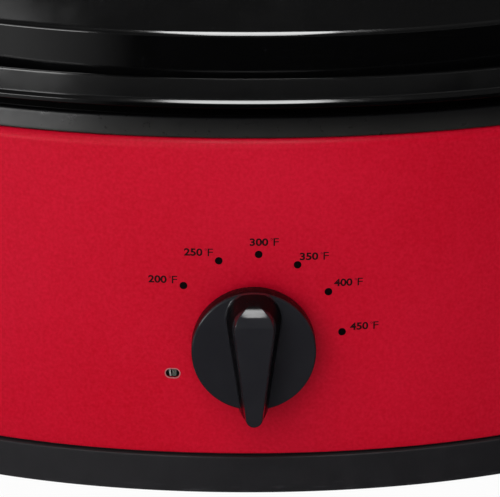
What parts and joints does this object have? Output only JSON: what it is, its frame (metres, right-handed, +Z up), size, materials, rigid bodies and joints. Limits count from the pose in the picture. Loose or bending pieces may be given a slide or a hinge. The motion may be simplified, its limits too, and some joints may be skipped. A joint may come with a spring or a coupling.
{
  "type": "electric roaster oven",
  "caption": "Oval countertop roaster oven with a red shell, black lift-out pan and loose lid, a rack inside, a pointer knob and a pilot lamp.",
  "frame": {"origin": "centre of the oval footprint, on the surface that the base's rim stands on", "axes": "+Z up, -Y towards the dial and the user, X along the long axis of the oval"},
  "size_m": [0.419, 0.3173, 0.2161],
  "materials": {
    "red_paint": "smooth gloss paint with a fine orange peel",
    "black_enamel": "glossy vitreous enamel",
    "black_base": "moulded, fine matte grain",
    "black_phenolic": "moulded phenolic, semi-gloss",
    "collar_black": "moulded, satin",
    "foot_rubber": "matte",
    "bushing_plastic": "moulded, satin",
    "zinc_steel": "zinc plated",
    "liner_steel": "aluminised sheet, dull",
    "mica": "pressed mica sheet",
    "ribbon_alloy": "bright resistance ribbon",
    "glass_fibre": "fibrous blanket",
    "ceramic_body": "unglazed",
    "brass_part": "plain",
    "lamp_glass": "clear",
    "electrode_nickel": "bright wire",
    "wire_sleeve": "braided glass sleeve",
    "rack_chrome": "bright plated wire",
    "washer_fibre": "pressed fibre"
  },
  "bodies": {
    "casing": {"base": "black_base", "rubber_feet": "foot_rubber", "outer_shell": "red_paint", "top_collar": "collar_black", "side_handle_right": "black_phenolic", "side_handle_left": "black_phenolic", "side_handle_screws": "zinc_steel", "base_screws": "zinc_steel", "cord_bushing": "bushing_plastic", "liner": "liner_steel", "heater_band": "mica", "heater_ribbons": "ribbon_alloy", "clamp_straps": "zinc_steel", "strap_screws": "zinc_steel", "insulation": "glass_fibre", "heat_shield": "liner_steel", "tie_bolt": "zinc_steel", "tie_nut": "zinc_steel", "tie_spacers": "zinc_steel", "thermostat_body": "ceramic_body", "thermostat_bracket": "zinc_steel", "thermostat_screws": "zinc_steel", "pilot_lamp": "lamp_glass", "lamp_electrodes": "electrode_nickel", "lamp_holder": "ceramic_body", "terminal_block": "ceramic_body", "terminal_screws": "brass_part", "internal_wires": "wire_sleeve"},
    "dial_knob": {"knob": "black_phenolic", "knob_clip": "zinc_steel", "thermostat_shaft": "brass_part"},
    "cookwell": {"cookwell": "black_enamel"},
    "rack": {"cooking_rack": "rack_chrome", "rack_loops": "rack_chrome"},
    "lid": {"lid": "black_enamel", "lid_handle": "black_phenolic", "lid_handle_washers": "washer_fibre", "lid_handle_screws": "zinc_steel"}
  },
  "joints": [
    {"name": "knob_turn", "type": "hinge", "parent": "casing", "child": "dial_knob", "pos_m": [0, -0.1484, 0.0567], "axis": [0, 1, 0], "range_deg": [0, 265.5]},
    {"name": "cookwell_lift", "type": "slide", "parent": "casing", "child": "cookwell", "axis": [0, 0, 1], "range_m": [0, 0.15]},
    {"name": "rack_lift", "type": "slide", "parent": "cookwell", "child": "rack", "axis": [0, 0, 1], "range_m": [0, 0.14]},
    {"name": "lid_lift", "type": "slide", "parent": "rack", "child": "lid", "axis": [0, 0, 1], "range_m": [0, 0.16]}
  ]
}
